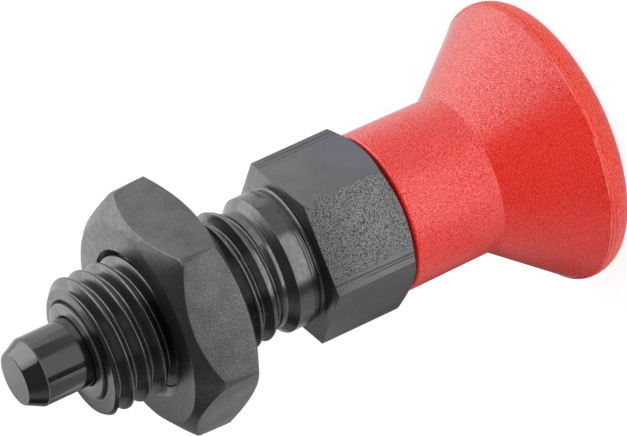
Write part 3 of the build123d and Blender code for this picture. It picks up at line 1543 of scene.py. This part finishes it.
@dataclass
class Studio:
    """Floor, backdrop light, lamps, screens and camera.

    Args:
        azimuth: where the camera stands, in degrees round from -Y towards +X.
        elevation: degrees that it stands up.
        roll: degrees that it is turned about its view.
        distance: millimetres from its target.
        lens: focal length, in millimetres.
        target: what it looks at, in millimetres.
        paper: how much light the floor scatters.
        paper_glow: brightness of the floor's own glow as the camera sees it.
        mirrored_loss: how much less of the glow reflections see.
        glow_share: the glow's share in the floor as the camera and reflections see it.
    """

    azimuth: float = 8.235
    elevation: float = 22.525
    roll: float = -114.749
    distance: float = 453.25
    lens: float = 315.3
    target: tuple[float, float, float] = (1.736, 0.251, -3.525)
    paper: float = 0.8
    paper_glow: float = 1.4
    mirrored_loss: float = 0.2
    glow_share: float = 0.6

    def camera(self) -> None:
        """Adds the camera."""
        data = bpy.data.cameras.new("camera")
        data.lens = self.lens
        data.sensor_width = 36.0
        data.clip_start = 0.01
        data.clip_end = 50.0
        camera = bpy.data.objects.new("camera", data)
        bpy.context.scene.collection.objects.link(camera)
        direction = aim(self.azimuth, self.elevation)
        side = Vector((0, 0, 1)).cross(direction).normalized()
        upright = Matrix((side, direction.cross(side), direction)).transposed()
        turned_view = upright @ Matrix.Rotation(math.radians(self.roll), 3, "Z")
        place = (Vector(self.target) + direction * self.distance) * MM
        camera.matrix_world = Matrix.Translation(place) @ turned_view.to_4x4()
        bpy.context.scene.camera = camera

    def floor(self, height: float) -> None:
        """Adds the plain pale floor.

        Args:
            height: its height, in metres.
        """
        deselect_all()
        place = (0, 0, height)
        bpy.ops.mesh.primitive_circle_add(vertices=64, radius=6.0, fill_type="NGON", location=place)
        floor = bpy.context.object
        floor.name = "floor"
        material, shader, surface = stage_material("floor_paper")
        rays = shader.node("ShaderNodeLightPath").outputs
        mirrored = shader.math("MAXIMUM", rays["Is Glossy Ray"], rays["Is Transmission Ray"])
        seen = shader.math("MAXIMUM", rays["Is Camera Ray"], mirrored)
        level = shader.math("MULTIPLY_ADD", mirrored, -self.mirrored_loss, self.paper_glow)
        glow = shader.node("ShaderNodeEmission", {"Strength": level})
        paper = shader.node("ShaderNodeBsdfDiffuse", {"Color": (self.paper, self.paper, self.paper, 1.0)})
        share = shader.math("MULTIPLY", seen, self.glow_share)
        both = shader.node("ShaderNodeMixShader", {0: share, 1: paper.outputs[0], 2: glow.outputs[0]})
        shader.link(both.outputs[0], surface)
        floor.data.materials.append(material)

    def backdrop(self) -> None:
        """Makes the world white, with its darker and brighter zones."""
        world = bpy.data.worlds.new("backdrop")
        bpy.context.scene.world = world
        world.use_nodes = True
        shader = Shader(world.node_tree)
        direction = shader.node("ShaderNodeTexCoord").outputs["Generated"]
        level: object = 1.0
        for azimuth, elevation, wide, narrow, brightness in BACKDROP_ZONES:
            inputs = {0: direction, 1: aim(azimuth, elevation)}
            spot = shader.node("ShaderNodeVectorMath", inputs, operation="DOT_PRODUCT").outputs["Value"]
            inside = shader.remap(spot, math.cos(math.radians(wide)), math.cos(math.radians(narrow)))
            mix = shader.node("ShaderNodeMix", {"Factor": inside, 2: level, 3: brightness})
            level = mix.outputs[0]
        seen = shader.node("ShaderNodeLightPath").outputs["Is Camera Ray"]
        shader.feed(world.node_tree.nodes["Background"], {
            "Color": (1.0, 1.0, 1.0, 1.0),
            "Strength": shader.math("MAXIMUM", level, seen),
        })

    def build(self, floor: float) -> None:
        """Sets the studio up.

        Args:
            floor: the floor's height, in metres.
        """
        self.camera()
        self.floor(floor)
        self.backdrop()
        for lamp in LAMPS:
            lamp.build()
        for ring in RINGS:
            ring.build(floor)
        Screen("screen_close_left", -135.0, 0.0165, 0.022, floor, floor + 0.006, 0.12).build()
        Screen("screen_back_left", -145.0, 0.032, 0.045, floor, floor + 0.016, 0.24).build()
        Screen("screen_far_left", 180.0, 0.080, 0.080, floor + 0.02, 0.052, 0.25, aside=0.052).build()
        Screen("screen_behind", 188.0, 0.080, 0.050, 0.052, 0.070, 0.85).build()


# ---- Everything together ----

# Name, colour, spread, roughness and relief come first in a finish.
BAR = HexagonBarSteel(
    "oxide_drawn", (0.177, 0.177, 0.178), 0.2, 0.36, 0.000012,
    blotch_scale=330.0, metallic=0.95, gloss_spread=0.1,
)
TURNED_OXIDE = Steel("oxide_turned", (0.155, 0.155, 0.158), 0.15, 0.24, 0.000006, blotch_scale=2200.0)
NUT_FLATS = Steel(
    "oxide_blasted", (0.173, 0.173, 0.173), 0.26, 0.4, 0.00002,
    grain_scale=7500.0, metallic=0.95, surface=Surface.BLASTED,
)
NUT_FACES = Steel(
    "oxide_nut_face", (0.15, 0.15, 0.152), 0.2, 0.3, 0.000005, blotch_scale=2600.0, metallic=0.93
)
GROUND = Steel("pin_ground", (0.141, 0.142, 0.145), 0.06, 0.12, 0.0000008, surface=Surface.GROUND)
BRIGHT = Steel("bush_bright", (0.22, 0.22, 0.22), 0.06, 0.3, 0.000001)
WIRE = Steel("spring_wire", (0.5, 0.5, 0.5), 0.1, 0.35, 0.000001, surface=Surface.DRAWN)

# Name, colour, roughness, height of the pebbles and mirror come first in a plastic.
# Both plastics paint shade into the pebbles' hollows.
# The pebbled red also paints a pale highlight along the rim's flash.
PEBBLED = MouldedPlastic(
    "grip_red", (1.0, 0.02, 0.007), 0.14, 0.00003, 0.4, hollow_shade=0.55, flash_highlight_radius=0.01241
)
# The rim and crown's red is paler and more orange than the pebbled red, on the same plastic: painted
# light.
SMOOTH = MouldedPlastic("grip_red_rim", (0.95, 0.05, 0.02), 0.38, 0.00001, 0.1, hollow_shade=0.35)

OUTER_THREAD = MetricThread(1.53, 5.97, 0.22, 0.18, crest_height=18.98)
INNER_THREAD = MetricThread(1.53, 6.15, 0.2, 0.2, crest_height=18.98)


def main() -> None:
    """Builds the pieces in order, then the studio."""
    logging.basicConfig(level=logging.INFO, format="%(message)s")
    bpy.context.scene.view_settings.view_transform = "Standard"
    effects = Effects()
    bar, turned_oxide, nut_flats, nut_faces, ground, bright, wire = (
        finish.build(effects)
        for finish in (BAR, TURNED_OXIDE, NUT_FLATS, NUT_FACES, GROUND, BRIGHT, WIRE)
    )
    Housing(bar, turned_oxide, nut_faces, OUTER_THREAD).build()
    GuideBush(bright).build()
    LockingPin(ground).build()
    CoilSpring(wire).build()
    Grip(PEBBLED.build(), SMOOTH.build()).build()
    LockNut(nut_flats, nut_faces, INNER_THREAD).build()

    Studio().build(cad_box[0].z)


if __name__ == "__main__":
    main()
